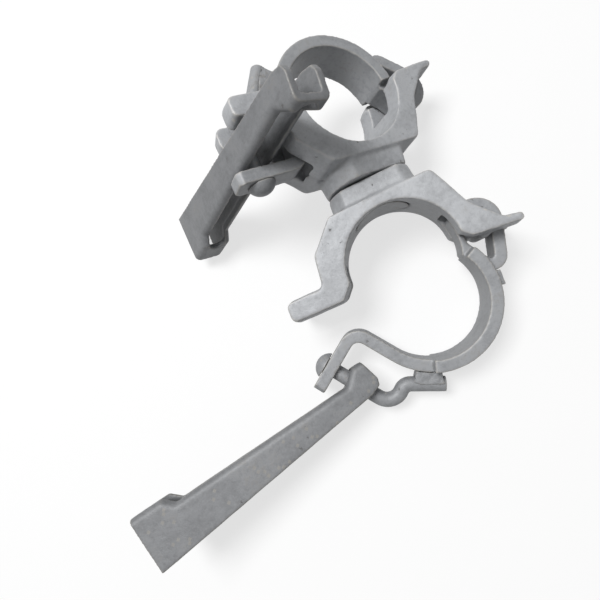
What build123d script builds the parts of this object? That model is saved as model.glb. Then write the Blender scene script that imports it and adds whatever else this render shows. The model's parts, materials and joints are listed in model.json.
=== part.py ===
"""Swivel scaffold coupler for 48.3 mm tube, closed by captive wedges.

Each half is drawn in its own clamp frame: the origin is the centre of the
tube, X points to the hinge side, Y to the swivel joint and Z along the tube.
The upper half is the lower half turned over and swivelled. All sizes are in
millimetres.
"""
import os
from math import cos, hypot, radians, sin

from build123d import *

# Tube and clamp body
tube_diameter = 48.3
body_width = 33.0
crown_height = 31.0
crown_left = 22.5
crown_right = 25.0
arm_thickness = 13.3
draft_angle = 6.0
face_bevel = 1.4
corner_rounding = 4.5
tip_rounding = 3.3
seat_corner = 1.0

# Toes of the forked latch arm
toe_reach = 55.5
toe_top = 4.6
toe_bottom = -8.0
heel_reach = 29.0

# Tongues of the forked hinge arm
tongue_reach = 50.5
tongue_top = 0.2
tongue_bottom = -7.4

# Swivel joint
joint_height = 37.85
swivel_gap = 0.3
boss_radius = 19.0
boss_inset = 2.4
boss_draft = 6.0
rivet_radius = 8.0
rivet_head_radius = 12.5
rivet_head_depth = 5.0
rivet_clearance = 0.06
rivet_recess_gap = 0.4
rivet_sink = 0.1
swivel_angle = 31.6

# Hinge bar and forks
bar_radius = 3.7
bar_reach = 34.0
bar_drop = 2.5
fork_gap = 13.6
fork_side_gap = 0.6
loop_clearance = 1.0
leg_headroom = 1.2
step_relief = 1.0

# Strap
strap_width = 20.0
strap_thickness = 5.7
strap_side_gap = 0.4
hinge_step_angle = -7.0
latch_step_angle = -145.4
loop_wall = 5.5
loop_bore = 5.5
loop_reach = 38.7
loop_rise = 0.2
bar_gap = 0.4
crotch_radius = 1.2
crotch_reach = 32.4
crotch_angle = -21.3
leg_height = 18.9
leg_reach = 58.5
leg_bend = 6.4
leg_chamfer = 2.0
tube_relief = 0.25

# Bow pin and its weld
pin_radius = 3.5
pin_reach = 47.5
pin_drop = 11.0
pin_turn_reach = 36.5
pin_turn_drop = 9.6
pin_end_reach = 26.8
pin_end_drop = 24.9
pin_bend = 6.8
pin_turn_bend = 4.5
pin_head_radius = 6.4
pin_head_height = 4.6
weld_start_angle = -160.0
weld_end_angle = -138.0
weld_width = 9.0

# Weld that closes the hinge loop
loop_weld_start = -46.0
loop_weld_end = -33.0
loop_weld_height = 2.6

# Wedge folded from plate
wedge_length = 120.4
wedge_thin = 8.6
wedge_thick = 21.2
wedge_width = 16.0
wedge_plate = 3.2
wedge_bend = 3.0
wedge_head_length = 15.5
wedge_head_step = 4.5
wedge_nose_length = 6.4
wedge_nose_step = 5.9
wedge_nose_ramp = 7.3
wedge_nose_slant = 1.3
wedge_nose_corner = 4.3
wedge_slot_width = 8.8
wedge_slot_start = 3.2
wedge_slot_stop = 12.0
seat_gap = 0.3

# How the coupler lies on the ground
rest_roll = 13.0
rest_pitch = 0.6

# Photographed pose
open_angle = 36.0
strap_slack = 2.9
strap_sag = 0.8
lower_wedge_pin = 8.9
lower_wedge_swing = 15.0
lower_wedge_tilt = 19.9
lower_wedge_rise = 10.2
upper_wedge_skew = 11.5

tube_radius = tube_diameter / 2
ring_outer = tube_radius + strap_thickness
half_width = body_width / 2
narrow_width = fork_gap - 2 * fork_side_gap
leg_middle = leg_height + strap_thickness / 2
leg_top = leg_height + strap_thickness
wedge_slope = (wedge_thick - wedge_thin) / wedge_length
arm_outer = tube_radius + arm_thickness
far = 4 * tube_radius


def polar(radius, angle):
    """Point at a radius and an angle in degrees about the tube centre."""
    return (radius * cos(radians(angle)), radius * sin(radians(angle)))


def turned(point, angle):
    """Point turned about the tube centre by an angle in degrees."""
    x, y = point
    return (
        x * cos(radians(angle)) - y * sin(radians(angle)),
        x * sin(radians(angle)) + y * cos(radians(angle)),
    )


# The open strap hangs on the hinge bar with its slack to the outside
bar_place = (bar_reach, -bar_drop)
slack_bar = (bar_reach + strap_slack, -bar_drop - strap_sag)
open_shift = tuple(a - b for a, b in zip(bar_place, turned(slack_bar, open_angle)))
open_tube = turned((-open_shift[0], -open_shift[1]), -open_angle)
loop_place = (loop_reach, loop_rise)
crotch_place = polar(crotch_reach, crotch_angle)
loop_outer = loop_bore + loop_wall
loop_offset = hypot(loop_reach - bar_reach, loop_rise + bar_drop)
fork_sweep = loop_offset + loop_outer + loop_clearance


def clamp_body():
    """Forged saddle with a forked arm on each side and a swivel boss on top."""
    forks = fork_spaces()
    with BuildPart() as body:
        with BuildSketch(Plane.XY):
            with BuildLine():
                FilletPolyline(
                    (-crown_left, crown_height),
                    (crown_right, crown_height),
                    (arm_outer - 4, tongue_top + 11),
                    (tongue_reach - 8, tongue_top + 0.6),
                    (tongue_reach, tongue_top - 0.6),
                    (tongue_reach, tongue_bottom),
                    (tube_radius + 3, tongue_bottom + 2.6),
                    (tube_radius - 4, 2),
                    (4 - tube_radius, 2),
                    (-heel_reach, toe_bottom),
                    (-toe_reach, toe_bottom),
                    (-toe_reach, toe_top),
                    (-arm_outer, toe_top),
                    (2 - arm_outer, toe_top + 13),
                    radius=4 * [corner_rounding]
                    + 2 * [tip_rounding]
                    + 6 * [corner_rounding]
                    + [seat_corner, corner_rounding],
                    close=True,
                )
            make_face()
        extrude(amount=half_width, taper=draft_angle)
        outer_face = body.faces().sort_by(Axis.Z)[-1]
        chamfer(outer_face.edges(), face_bevel)
        mirror(about=Plane.XY)
        with BuildSketch(Plane.XZ.offset(-joint_height + swivel_gap / 2)):
            Circle(boss_radius)
            Rectangle(2 * boss_radius, body_width - 2 * boss_inset, mode=Mode.INTERSECT)
        extrude(amount=joint_height - tube_radius, taper=-boss_draft)
        Cylinder(tube_radius, 2 * body_width, mode=Mode.SUBTRACT)
        add(forks, mode=Mode.SUBTRACT)
        with Locations((bar_place[0], bar_place[1], 0)):
            Cylinder(bar_radius, fork_gap + 4)
        with BuildSketch(Plane.XZ.offset(-joint_height)):
            Circle(rivet_radius + rivet_clearance)
        extrude(amount=joint_height, mode=Mode.SUBTRACT)
        with BuildSketch(Plane.XZ.offset(-tube_radius - rivet_head_depth)):
            Circle(rivet_head_radius + rivet_recess_gap)
        extrude(amount=tube_radius, mode=Mode.SUBTRACT)
    return body.part


def fork_spaces():
    """Spaces for the strap between the two toes and between the two tongues."""
    with BuildPart() as spaces:
        with BuildSketch(Plane.XY):
            with BuildLine():
                Polyline(
                    (-far, leg_top + leg_headroom),
                    (-tube_radius + fork_side_gap, leg_top + leg_headroom),
                    (-tube_radius + fork_side_gap, -tube_radius),
                    (-far, -tube_radius),
                    close=True,
                )
            make_face()
            with Locations(bar_place):
                Circle(fork_sweep)
            with Locations((bar_place[0], bar_place[1] + fork_sweep)):
                Rectangle(2 * fork_sweep, 2 * fork_sweep, align=(Align.MIN, Align.MAX))
        extrude(amount=fork_gap / 2, both=True)
        with BuildSketch(Plane.XY):
            with Locations((tube_radius - step_relief, -step_relief / 2)):
                Rectangle(
                    strap_thickness + 2 * step_relief, far, align=(Align.MIN, Align.MAX)
                )
        extrude(amount=strap_width / 2 + strap_side_gap, both=True)
    return spaces.part


def swivel_rivet():
    """Rivet through both bosses, with a head shaped to each saddle."""
    head_face = tube_radius + rivet_head_depth
    upper_face = 2 * joint_height - head_face + swivel_gap
    with BuildPart() as rivet:
        with BuildSketch(Plane.XZ.offset(-head_face)):
            Circle(rivet_head_radius)
        extrude(amount=2 * rivet_head_depth)
        Cylinder(tube_radius + rivet_sink, 2 * body_width, mode=Mode.SUBTRACT)
        with BuildSketch(Plane.XZ.offset(-head_face)):
            Circle(rivet_radius)
        extrude(amount=head_face - upper_face)
        with BuildSketch(Plane.XZ.offset(-upper_face)):
            Circle(rivet_head_radius)
        extrude(amount=-2 * rivet_head_depth)
        with Locations(Location((0, 2 * joint_height, 0), (0, swivel_angle, 0))):
            Cylinder(tube_radius + rivet_sink, 2 * body_width, mode=Mode.SUBTRACT)
    return rivet.part


def strap():
    """Hinged strap: ring over the tube, loop on the bar, leg for the wedge."""
    with BuildPart() as bar:
        with BuildSketch(Plane.XY):
            Circle(ring_outer)
            Circle(tube_radius, mode=Mode.SUBTRACT)
            with BuildLine():
                Polyline(
                    (0, 0),
                    polar(far, hinge_step_angle),
                    polar(far, (hinge_step_angle + latch_step_angle) / 2),
                    polar(far, latch_step_angle),
                    close=True,
                )
            make_face(mode=Mode.INTERSECT)
        extrude(amount=strap_width / 2, both=True)
        with BuildSketch(Plane.XY):
            with Locations(loop_place):
                Circle(loop_outer)
            with Locations(crotch_place):
                Circle(crotch_radius + loop_wall)
            with Locations(bar_place):
                Circle(bar_radius + bar_gap + loop_wall)
            make_hull()
            with BuildSketch(mode=Mode.SUBTRACT):
                with Locations(loop_place):
                    Circle(loop_bore)
                with Locations(crotch_place):
                    Circle(crotch_radius)
                with Locations(bar_place):
                    Circle(bar_radius + bar_gap)
                make_hull()
            Circle(tube_radius, mode=Mode.SUBTRACT)
            with Locations(open_tube):
                Circle(tube_radius + tube_relief, mode=Mode.SUBTRACT)
        extrude(amount=narrow_width / 2, both=True)
        with BuildSketch(Plane.XY):
            with BuildLine():
                wrap = CenterArc(
                    (0, 0), tube_radius + strap_thickness / 2, latch_step_angle + 5,
                    -180 - latch_step_angle - 5,
                )
                rise = Line(wrap @ 1, (wrap @ 1) + (0, leg_middle - leg_bend))
                turn = JernArc(rise @ 1, rise % 1, leg_bend, 90)
                Line(turn @ 1, (-leg_reach, leg_middle))
            trace(line_width=strap_thickness)
        extrude(amount=narrow_width / 2, both=True)
        tip_edges = bar.edges().filter_by(Axis.Y).group_by(Axis.X)[0]
        chamfer(tip_edges, leg_chamfer)
        with BuildSketch(Plane.XZ.offset(-leg_top - 1)):
            with Locations((-pin_reach, 0)):
                Circle(pin_radius)
        extrude(amount=strap_thickness + 2, mode=Mode.SUBTRACT)
    return bar.part


def bow_pin():
    """Round bar through the leg and the wedge, bent back to the ring."""
    with BuildPart() as pin:
        with BuildLine():
            path = FilletPolyline(
                (-pin_reach, leg_top),
                (-pin_reach, -pin_drop),
                (-pin_turn_reach, -pin_turn_drop),
                (-pin_end_reach, -pin_end_drop),
                radius=[pin_bend, pin_turn_bend],
            )
        with BuildSketch(Plane(origin=path @ 0, z_dir=path % 0)):
            Circle(pin_radius)
        sweep(path=path)
        with BuildSketch(Plane.XY):
            with BuildLine():
                rim = (pin_head_radius - pin_reach, leg_top)
                peak = (-pin_reach, leg_top + pin_head_height)
                dome = (pin_head_radius**2 + pin_head_height**2) / (2 * pin_head_height)
                RadiusArc(rim, peak, -dome)
                Polyline(peak, (-pin_reach, leg_top), rim)
            make_face()
        revolve(axis=Axis((-pin_reach, 0, 0), (0, 1, 0)))
    return pin.part


def bow_weld(pin):
    """Weld between the end of the bow pin and the ring."""
    with BuildPart() as bead:
        with BuildSketch(Plane.XY):
            Circle(ring_outer + pin_radius + 2.6)
            Circle(ring_outer, mode=Mode.SUBTRACT)
            with BuildLine():
                Polyline(
                    (0, 0),
                    polar(far, weld_start_angle),
                    polar(far, weld_end_angle),
                    close=True,
                )
            make_face(mode=Mode.INTERSECT)
        extrude(amount=weld_width / 2, both=True)
        add(pin, mode=Mode.SUBTRACT)
    return bead.part


def loop_weld():
    """Weld bead that closes the hinge loop on the outside of the ring."""
    with BuildPart() as bead:
        with BuildSketch(Plane.XY):
            Circle(ring_outer + loop_weld_height)
            Circle(ring_outer, mode=Mode.SUBTRACT)
            with BuildLine():
                Polyline(
                    (0, 0),
                    polar(far, loop_weld_start),
                    polar(far, loop_weld_end),
                    close=True,
                )
            make_face(mode=Mode.INTERSECT)
            with Locations(crotch_place):
                Circle(crotch_radius + loop_wall, mode=Mode.SUBTRACT)
        extrude(amount=narrow_width / 2, both=True)
    return bead.part


def wedge():
    """Folded channel, tapered, with a long slot in its web and raised ends."""
    head_start = wedge_length - wedge_head_length
    ramp_end = wedge_nose_length + wedge_nose_ramp

    def web_line(nose, depth):
        """Line of the web from its nose to its head, at a depth below its face."""
        raised = [
            (wedge_length, wedge_head_step),
            (head_start, wedge_head_step),
            (head_start - wedge_head_step, 0),
            (ramp_end, 0),
            (wedge_nose_length, wedge_nose_step),
            (nose, wedge_nose_step),
        ]
        return [(u, wedge_thin + wedge_slope * u + step - depth) for u, step in raised]

    with BuildPart() as channel:
        with BuildSketch(Plane.XY):
            with BuildLine():
                Polyline(
                    (wedge_nose_length, 0),
                    (wedge_length, 0),
                    *web_line(wedge_nose_slant, 0),
                    (0, wedge_nose_corner),
                    (wedge_nose_slant, wedge_nose_slant),
                    close=True,
                )
            make_face()
        extrude(amount=wedge_width / 2, both=True)
        web_faces = channel.faces().filter_by(lambda f: f.normal_at().Y > 0.3)
        side_edges = web_faces.edges().filter_by(
            lambda e: abs(e.center().Z) > wedge_width / 2 - 0.01
        )
        fillet(side_edges, wedge_bend)
        with BuildSketch(Plane.XY):
            with BuildLine():
                Polyline(
                    (-wedge_nose_slant, -wedge_plate),
                    (wedge_length, -wedge_plate),
                    *web_line(-wedge_nose_slant, wedge_plate),
                    close=True,
                )
            make_face()
        extrude(amount=wedge_width / 2 - wedge_plate, both=True, mode=Mode.SUBTRACT)
        slot_length = wedge_length - wedge_slot_stop - wedge_slot_start
        with BuildSketch(Plane.XZ.offset(-2 * wedge_thick)):
            with Locations((wedge_slot_start + slot_length / 2, 0)):
                SlotOverall(slot_length, wedge_slot_width)
        extrude(amount=2 * wedge_thick, mode=Mode.SUBTRACT)
    return channel.part


# Upper wedge: driven home between the leg and the toes
wedge_base = toe_top - 0.2
wedge_room = leg_height - seat_gap - wedge_base - wedge_slope * narrow_width / 2
upper_wedge_pin = (wedge_room - wedge_thin) / wedge_slope
skew = radians(upper_wedge_skew)
upper_along = Vector(-sin(skew), 0, cos(skew))
upper_wedge_place = Plane(
    origin=Vector(-pin_reach, wedge_base, 0) - upper_along * upper_wedge_pin,
    x_dir=upper_along,
    z_dir=upper_along.cross(Vector(0, 1, 0)),
)

# Lower wedge: hanging on the pin by its thin end, web towards the leg
tilt = radians(lower_wedge_tilt)
swing = radians(lower_wedge_swing)
lower_along = Vector(-cos(tilt) * cos(swing), sin(tilt), cos(tilt) * sin(swing))
lower_side = lower_along.cross(Vector(0, 1, 0)).normalized()
lower_up = lower_side.cross(lower_along)
pin_web = Vector(-pin_reach, lower_wedge_rise, 0)
lower_wedge_place = Plane(
    origin=pin_web
    - lower_along * lower_wedge_pin
    - lower_up * (wedge_thin + wedge_slope * lower_wedge_pin),
    x_dir=lower_along,
    z_dir=lower_side,
)

# Places of the two halves and of the opened strap
turned_over = Location((0, 0, 0), (180, 0, 0))
swivelled = Location((0, 2 * joint_height, 0), (0, swivel_angle, 0))
upper_half = swivelled * turned_over
opened = Location((open_shift[0], open_shift[1], 0), (0, 0, open_angle))

pin = bow_pin()
pieces = {
    "lower_body": clamp_body(),
    "upper_body": clamp_body().moved(upper_half),
    "swivel_rivet": swivel_rivet(),
    "lower_strap": strap().moved(opened),
    "upper_strap": strap().moved(upper_half),
    "lower_loop_weld": loop_weld().moved(opened),
    "upper_loop_weld": loop_weld().moved(upper_half),
    "lower_bow_pin": pin.moved(opened),
    "upper_bow_pin": pin.moved(upper_half),
    "lower_bow_weld": bow_weld(pin).moved(opened),
    "upper_bow_weld": bow_weld(pin).moved(upper_half),
    "lower_wedge": wedge().moved(opened * lower_wedge_place.location),
    "upper_wedge": wedge().moved(upper_half * upper_wedge_place.location),
}

# Lay the coupler on the ground with its outline centred over the origin
tipped = Location((0, 0, 0), (0, rest_pitch, 0)) * Location((0, 0, 0), (rest_roll, 0, 0))
outline = Compound([piece.moved(tipped) for piece in pieces.values()]).bounding_box()
centre = outline.center()
laid = Location((-centre.X, -centre.Y, -outline.min.Z)) * tipped

os.makedirs("parts", exist_ok=True)
for name, piece in pieces.items():
    placed = piece.moved(laid)
    placed.label = name
    export_step(placed, f"parts/{name}.step")
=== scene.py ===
"""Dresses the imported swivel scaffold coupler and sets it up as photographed.

Everything is in metres. The lamp and the camera are placed in the clamp frame,
which has its origin at the centre of the lower tube, with X to the hinge side,
Y to the swivel joint and Z along the tube.
"""
import json

import bpy
from mathutils import Matrix, Vector


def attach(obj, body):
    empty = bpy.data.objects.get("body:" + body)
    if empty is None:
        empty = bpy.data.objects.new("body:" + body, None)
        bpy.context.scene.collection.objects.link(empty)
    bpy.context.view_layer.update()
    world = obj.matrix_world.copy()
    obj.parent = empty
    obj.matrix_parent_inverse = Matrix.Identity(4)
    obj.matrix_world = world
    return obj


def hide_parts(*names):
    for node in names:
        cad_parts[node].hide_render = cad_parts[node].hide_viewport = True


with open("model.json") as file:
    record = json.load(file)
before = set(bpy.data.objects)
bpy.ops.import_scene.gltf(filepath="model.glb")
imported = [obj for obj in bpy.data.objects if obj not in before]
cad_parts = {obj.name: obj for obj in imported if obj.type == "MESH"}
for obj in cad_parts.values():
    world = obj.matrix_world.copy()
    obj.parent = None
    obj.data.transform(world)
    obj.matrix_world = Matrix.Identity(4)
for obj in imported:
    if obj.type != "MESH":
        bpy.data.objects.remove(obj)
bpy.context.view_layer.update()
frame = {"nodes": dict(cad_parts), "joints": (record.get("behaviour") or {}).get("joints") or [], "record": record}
nodes = frame["nodes"]

# Forged clamp bodies: two drop-forged steel saddles with a forked arm on each
# side, hot-dip galvanised, so that their edges are soft and their faces are
# matt, faintly clouded zinc with small pits, rubbed corners lightened further
# by a painted highlight, and painted shade in the hollows.


class Value:
    """A number or colour on its way through a node tree, added like a number."""

    def __init__(self, blend, socket):
        self.blend = blend
        self.socket = socket

    def sum(self, operation, *terms):
        """The result of one operation on values or plain numbers."""
        return self.blend.node(
            "ShaderNodeMath", {"operation": operation}, dict(enumerate(terms))
        )

    def __add__(self, other):
        return self.sum("ADD", self, other)

    def __mul__(self, other):
        return self.sum("MULTIPLY", self, other)

    def __sub__(self, other):
        return self.sum("SUBTRACT", self, other)

    def __rsub__(self, other):
        return self.sum("SUBTRACT", other, self)

    def ramp(self, low, high):
        """0 below low, 1 above high and smooth between them."""
        return self.blend.node(
            "ShaderNodeMapRange",
            {"interpolation_type": "SMOOTHSTEP"},
            {0: self, 1: low, 2: high, 3: 0.0, 4: 1.0},
        )


class Blend:
    """A node tree that is being built."""

    def __init__(self, tree):
        self.tree = tree

    def node(self, kind, settings=None, sockets=None, out=0):
        """One node with its settings, then the values or links of its sockets."""
        node = self.tree.nodes.new(kind)
        for key, value in (settings or {}).items():
            setattr(node, key, value)
        for key, value in (sockets or {}).items():
            self.put(node.inputs[key], value)
        return Value(self, node.outputs[out])

    def put(self, socket, value):
        """Links a value to a socket, or sets the socket to it."""
        if isinstance(value, Value):
            self.tree.links.new(value.socket, socket)
        else:
            socket.default_value = value

    def shown(self):
        """1 for the rays that show the background, and 0 for those that light."""
        camera, glossy, transmission = (
            self.node("ShaderNodeLightPath", out=ray)
            for ray in ("Is Camera Ray", "Is Glossy Ray", "Is Transmission Ray")
        )
        return camera.sum("MAXIMUM", camera.sum("MAXIMUM", camera, glossy), transmission)


class Finish(Blend):
    """A material, with textures on the piece's own coordinates."""

    def __init__(self, name):
        self.material = bpy.data.materials.new(name)
        self.material.use_nodes = True
        super().__init__(self.material.node_tree)
        self.shader = self.tree.nodes["Principled BSDF"]
        self.place = self.node("ShaderNodeTexCoord", out="Object")

    def noise(self, scale, detail, roughness=0.55):
        """Soft noise with so many waves to the metre."""
        return self.node(
            "ShaderNodeTexNoise",
            sockets={
                "Vector": self.place,
                "Scale": scale,
                "Detail": detail,
                "Roughness": roughness,
            },
        )

    def mix(self, factor, first, second):
        """Colour that goes from the first to the second as the factor rises."""
        return self.node(
            "ShaderNodeMix", {"data_type": "RGBA"}, {0: factor, 6: first, 7: second}, out=2
        )


def galvanised(name, tone, grit=1.0, dirt_and_hollow_shade=0.5):
    """Hot-dip zinc: even grey, lightly clouded, with pits, rubbed edges with a painted highlight on them, and
    painted shade in the hollows.
    """
    tint = (0.975, 1.0, 1.04)
    # Pale tan for convex edges: partly rubbed zinc, partly a painted highlight.
    worn_edge_and_highlight = (tone * 1.3, tone * 1.24, tone * 1.13, 1)
    stain_brown = (0.17, 0.155, 0.135, 1)
    pit_black = (0.07, 0.072, 0.076, 1)
    nick_black = (0.085, 0.08, 0.075, 1)
    # Near-black painted shade for hollows and creases.
    painted_hollow_shade = (0.10, 0.098, 0.092, 1)
    nicks_per_metre = 190.0
    relief_depth = 0.0006
    finish = Finish(name)
    cloud = finish.noise(75, 4)
    mottle = finish.noise(480, 6, 0.7)
    speckle = finish.noise(1900, 3, 0.75)
    bend = finish.node("ShaderNodeNewGeometry", out="Pointiness")
    cells = finish.node(
        "ShaderNodeTexVoronoi", sockets={"Vector": finish.place, "Scale": nicks_per_metre}
    )
    nicks = 1 - (cells + mottle * 0.7 + cloud * 0.4).ramp(0.53, 0.61)

    def shade(factor):
        """The zinc's own colour, lighter or darker by a factor."""
        return (*(tone * factor * part for part in tint), 1)

    body = finish.mix(cloud.ramp(0.36, 0.64), shade(0.86), shade(1.06))
    body = finish.mix(mottle.ramp(0.46, 0.66) * 0.35, body, shade(1.25))
    body = finish.mix((1 - mottle.ramp(0.36, 0.5)) * 0.35, body, shade(0.62))
    stain = cloud.ramp(0.52, 0.66) * mottle.ramp(0.45, 0.6) * (0.7 * dirt_and_hollow_shade)
    body = finish.mix(stain, body, stain_brown)
    pits = speckle.ramp(0.63, 0.69) * mottle.ramp(0.5, 0.64)
    body = finish.mix(pits * 0.7, body, pit_black)
    body = finish.mix(nicks * (0.75 * grit), body, nick_black)
    # Convex edges, found by pointiness, are lightened: rubbed wear plus a painted highlight.
    body = finish.mix(bend.ramp(0.508, 0.545) * 0.6, body, worn_edge_and_highlight)
    # Painted shade: hollows and creases, found by low pointiness, are darkened; the dirt setting, which also
    # drives the real stains, deepens this shade too.
    shaded_hollows = 1 - bend.ramp(0.455, 0.496)
    body = finish.mix(shaded_hollows * (0.35 + 0.6 * dirt_and_hollow_shade), body, painted_hollow_shade)
    finish.put(finish.shader.inputs["Base Color"], body)
    finish.shader.inputs["Metallic"].default_value = 0.15
    finish.put(finish.shader.inputs["Roughness"], mottle * 0.2 + speckle * 0.08 + 0.38)
    skin = mottle * 0.5 + speckle * 0.16 + cloud * 0.4 - pits * 0.6 - nicks * 0.5
    bump = finish.node(
        "ShaderNodeBump",
        sockets={"Strength": 0.6 * grit, "Distance": relief_depth, "Height": skin},
        out="Normal",
    )
    finish.put(finish.shader.inputs["Normal"], bump)
    return finish.material


def select_only(piece):
    """Leaves one object selected and active."""
    bpy.ops.object.select_all(action="DESELECT")
    piece.select_set(True)
    bpy.context.view_layer.objects.active = piece


def modify(piece, kind, **settings):
    """Adds one modifier with its settings and applies it."""
    modifier = piece.modifiers.new(kind.lower(), kind)
    for key, value in settings.items():
        setattr(modifier, key, value)
    bpy.ops.object.modifier_apply(modifier=modifier.name)


def soften(piece, voxel, rounding, waviness, grain):
    """Rounds hard edges and gives the faces the slight unevenness of dipped metal."""
    select_only(piece)
    modify(piece, "REMESH", mode="VOXEL", voxel_size=voxel)
    modify(piece, "SMOOTH", factor=0.5, iterations=rounding)
    unevenness = bpy.data.textures.new(piece.name + "_skin", "CLOUDS")
    unevenness.noise_scale = grain
    modify(
        piece, "DISPLACE", texture=unevenness, texture_coords="LOCAL",
        strength=waviness, mid_level=1.0,
    )
    bpy.ops.object.shade_smooth()


def cast_piece(node, name, material, voxel, rounding, waviness, grain):
    """A piece with the shape of a CAD node and the skin of dipped metal."""
    same_point = 0.000002
    piece = nodes[node].copy()
    piece.data = nodes[node].data.copy()
    piece.name = name
    piece.parent = None
    for key in list(piece.keys()):
        del piece[key]
    bpy.context.scene.collection.objects.link(piece)
    select_only(piece)
    bpy.ops.object.mode_set(mode="EDIT")
    bpy.ops.mesh.select_all(action="SELECT")
    bpy.ops.mesh.remove_doubles(threshold=same_point)
    bpy.ops.object.mode_set(mode="OBJECT")
    soften(piece, voxel, rounding, waviness, grain)
    piece.data.materials.clear()
    piece.data.materials.append(material)
    return piece


forging_zinc = galvanised("forging_zinc", tone=0.4, grit=1.0, dirt_and_hollow_shade=0.4)
for node, body in (("lower_body", "lower_clamp"), ("upper_body", "upper_clamp")):
    forging = cast_piece(
        node, node + "_forging", forging_zinc,
        voxel=0.00055, rounding=20, waviness=0.0005, grain=0.011,
    )
    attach(forging, body)
    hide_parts(node)

# Swivel rivet: a turned steel rivet closed through both bosses, whose two
# heads lie in the saddles and are shaped to the tube.
rivet_zinc = galvanised("rivet_zinc", tone=0.3, grit=0.7, dirt_and_hollow_shade=0.8)
rivet = cast_piece(
    "swivel_rivet", "swivel_rivet_forged", rivet_zinc,
    voxel=0.0005, rounding=6, waviness=0.00015, grain=0.006,
)
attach(rivet, "lower_clamp")
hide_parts("swivel_rivet")

# Straps: flat steel bent to the tube, with a loop on the hinge bar and a leg
# that the wedge pulls down, and with slightly rounded cut edges.
strap_zinc = galvanised("strap_zinc", tone=0.3, grit=0.7, dirt_and_hollow_shade=0.5)
for half in ("lower", "upper"):
    strap = cast_piece(
        half + "_strap", half + "_strap_bent", strap_zinc,
        voxel=0.0005, rounding=8, waviness=0.0002, grain=0.009,
    )
    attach(strap, half + "_strap_set")
    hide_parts(half + "_strap")

# Bow pins: round bar with a snap head, bent back under the strap to hold the
# wedge captive.
pin_zinc = galvanised("pin_zinc", tone=0.27, grit=0.7, dirt_and_hollow_shade=0.6)
for half in ("lower", "upper"):
    pin = cast_piece(
        half + "_bow_pin", half + "_bow_pin_bent", pin_zinc,
        voxel=0.00035, rounding=8, waviness=0.00015, grain=0.007,
    )
    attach(pin, half + "_strap_set")
    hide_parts(half + "_bow_pin")

# Welds: short beads that close the hinge loop and hold the end of the bow
# pin, galvanised with the rest.
weld_zinc = galvanised("weld_zinc", tone=0.27, grit=1.4, dirt_and_hollow_shade=0.8)
for half in ("lower", "upper"):
    for seam in ("loop_weld", "bow_weld"):
        bead = cast_piece(
            half + "_" + seam, half + "_" + seam + "_bead", weld_zinc,
            voxel=0.0004, rounding=10, waviness=0.0007, grain=0.003,
        )
        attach(bead, half + "_strap_set")
        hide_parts(half + "_" + seam)

# Wedges: plate folded to a tapered channel with a long slot, a raised nose
# and a raised head that takes the hammer.
wedge_zinc = galvanised("wedge_zinc", tone=0.19, grit=0.9, dirt_and_hollow_shade=0.4)
for half in ("lower", "upper"):
    wedge = cast_piece(
        half + "_wedge", half + "_wedge_folded", wedge_zinc,
        voxel=0.0005, rounding=7, waviness=0.0002, grain=0.008,
    )
    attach(wedge, half + "_wedge")
    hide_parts(half + "_wedge")

# Floor: a plain white sheet of paper under the coupler. It glows white to the
# rays that show it and keeps the coupler's shadow, and it throws less light
# back on the metal than white paper would.
floor_size = 6.0
glow_share = 0.7
thrown_back = (0.4, 0.4, 0.4, 1)
bpy.ops.object.select_all(action="DESELECT")
bpy.ops.mesh.primitive_plane_add(size=floor_size, location=(0, 0, 0))
floor = bpy.context.active_object
floor.name = "floor"
paper = Finish("white_paper")
fibre = paper.noise(40, 4)
sheet_tone = paper.mix(fibre, (0.86, 0.86, 0.86, 1), (0.88, 0.88, 0.88, 1))
paper.shader.inputs["Roughness"].default_value = 0.9
paper.shader.inputs["Specular IOR Level"].default_value = 0.1
seen = paper.shown()
sheet_tone = paper.mix(seen, thrown_back, sheet_tone)
paper.put(paper.shader.inputs["Base Color"], sheet_tone)
glow = paper.node("ShaderNodeEmission", sockets={"Color": (1, 1, 1, 1), "Strength": 1.0})
bare = Value(paper, paper.shader.outputs["BSDF"])
sheet = paper.node("ShaderNodeMixShader", sockets={0: seen * glow_share, 1: bare, 2: glow})
paper.put(paper.tree.nodes["Material Output"].inputs["Surface"], sheet)
floor.data.materials.append(paper.material)

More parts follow.
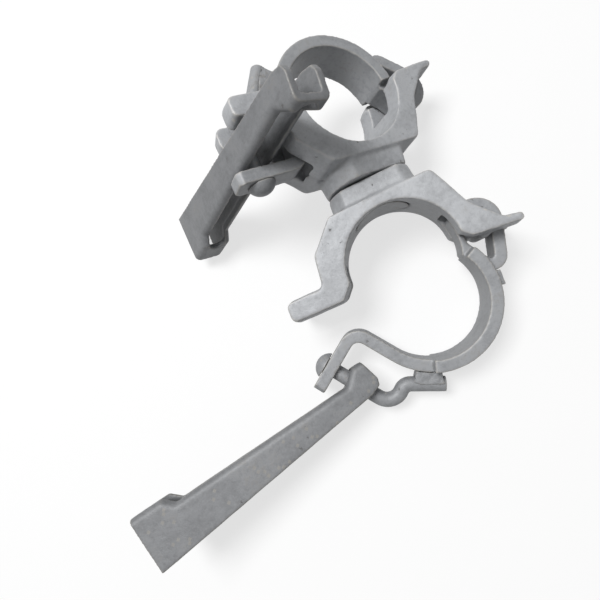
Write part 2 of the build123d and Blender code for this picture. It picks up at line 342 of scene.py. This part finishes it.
# Light: an even dim room, white where it is seen, and one wide soft lamp from
# the upper left of the picture, which gives the soft shadows to the lower
# right.
room_light = 0.2
lamp_size = 0.45
lamp_power = 12.5
lamp_place = Vector((-0.25, 0.5, 0.95))
lamp_target = Vector((-0.02, 0.03, 0))
mounts = {mount["name"]: mount for mount in frame["record"]["mounts"]}
swivel = next(joint for joint in frame["joints"] if joint["name"] == "swivel")
tube_centre = Vector(mounts["lower_tube"]["pos_m"])
along_tube = Vector(mounts["lower_tube"]["axis"]).normalized()
to_swivel = Vector(swivel["axis"]).normalized()
to_hinge = to_swivel.cross(along_tube)
clamp_axes = Matrix((to_hinge, to_swivel, along_tube)).transposed()

world = bpy.data.worlds.new("white_room")
bpy.context.scene.world = world
world.use_nodes = True
room = Blend(world.node_tree)
backdrop = world.node_tree.nodes["Background"]
backdrop.inputs["Color"].default_value = (1, 1, 1, 1)
room.put(backdrop.inputs["Strength"], room.shown() * (1 - room_light) + room_light)

key_lamp = bpy.data.lights.new("key_lamp", "AREA")
key_lamp.shape = "SQUARE"
key_lamp.size = lamp_size
key_lamp.energy = lamp_power
stand = bpy.data.objects.new("key_lamp", key_lamp)
bpy.context.scene.collection.objects.link(stand)
stand.location = tube_centre + clamp_axes @ lamp_place
aim = clamp_axes @ (lamp_target - lamp_place)
stand.rotation_euler = aim.to_track_quat("-Z", "Y").to_euler()

# Camera: stands close above the coupler, a little to the left of the open
# clamp and turned so that the two clamps stack up the picture.
image_width_px = 600
focal_px = 430
sensor_mm = 36
eye = Vector((-0.01776, -0.00629, 0.19724))
picture_right = Vector((0.8991, -0.4063, -0.1631))
picture_down = Vector((-0.4083, -0.9126, 0.0229))
looking = picture_right.cross(picture_down).normalized()
picture_right = picture_down.cross(looking).normalized()
picture_up = picture_right.cross(looking)
stance = clamp_axes @ Matrix((picture_right, picture_up, -looking)).transposed()
view = bpy.data.cameras.new("camera")
view.sensor_width = sensor_mm
view.lens = focal_px / image_width_px * sensor_mm
view.clip_start = 0.005
view.clip_end = 20
camera = bpy.data.objects.new("camera", view)
bpy.context.scene.collection.objects.link(camera)
camera.matrix_world = Matrix.Translation(tube_centre + clamp_axes @ eye) @ stance.to_4x4()
bpy.context.scene.camera = camera
bpy.context.scene.view_settings.view_transform = "Standard"
